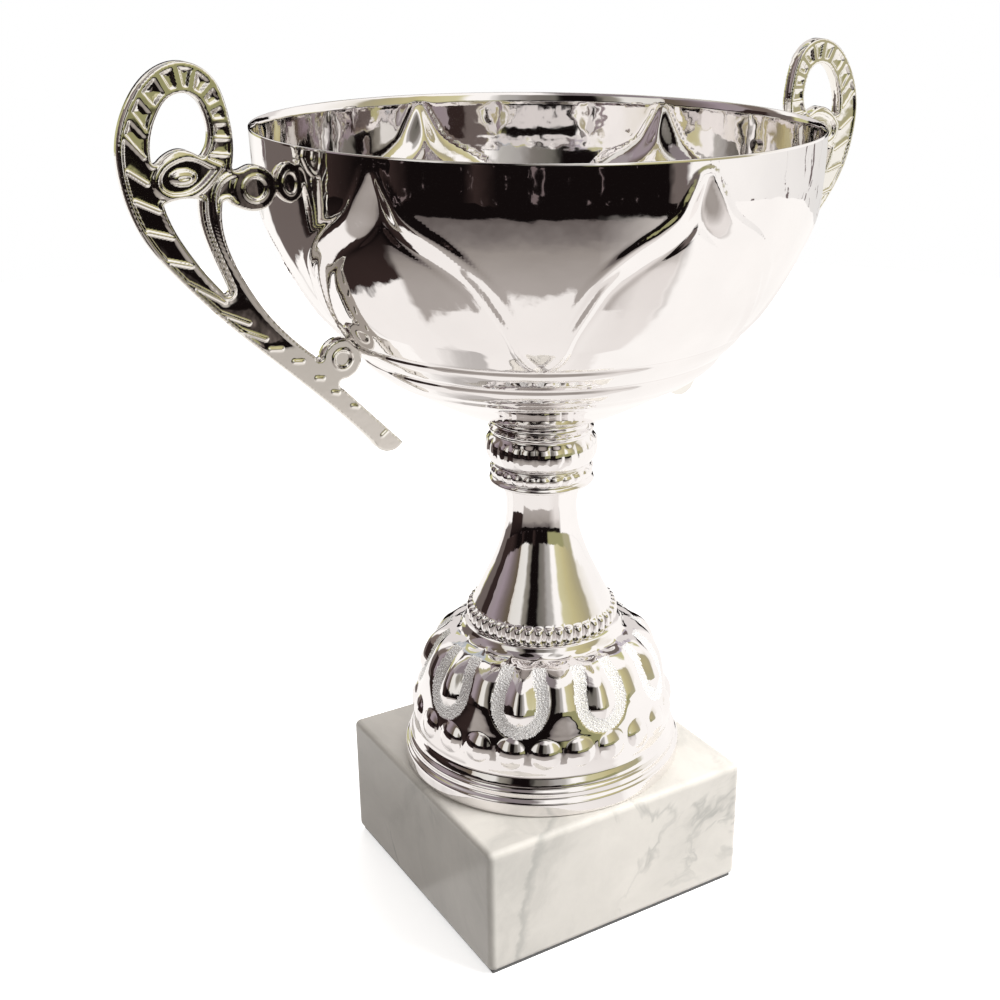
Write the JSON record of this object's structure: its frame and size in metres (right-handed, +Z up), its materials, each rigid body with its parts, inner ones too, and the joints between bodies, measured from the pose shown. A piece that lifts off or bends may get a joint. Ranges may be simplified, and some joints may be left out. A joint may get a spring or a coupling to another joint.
{
  "type": "cup trophy",
  "caption": "Two-handled cup trophy: a pressed bowl with pointed panels on a knop, beaded stem and domed foot, on a square marble block.",
  "frame": {"origin": "centre of the underside of the block", "axes": "+Z up along the stem, X through the two handles, -Y towards the block's front face"},
  "size_m": [0.2058, 0.1392, 0.2285],
  "materials": {
    "marble": "polished white marble with grey veins",
    "felt": "felt pad",
    "steel": "zinc plated",
    "plated_plastic": "metallised plastic, mirror bright",
    "bowl_metal": "nickel plated sheet, mirror bright",
    "handle_metal": "nickel plated casting, bright"
  },
  "bodies": {
    "root": {"base_pad": "felt", "marble_base": "marble", "base_washer": "steel", "base_spring_washer": "steel", "base_nut": "steel", "tie_rod": "steel", "foot_shell": "plated_plastic", "stem_cone": "plated_plastic", "knop_collar": "plated_plastic", "knop": "plated_plastic", "bowl": "bowl_metal", "bowl_washer": "steel", "bowl_nut": "steel", "handle_left": "handle_metal", "handle_right": "handle_metal", "handle_rivets": "handle_metal"}
  },
  "joints": []
}
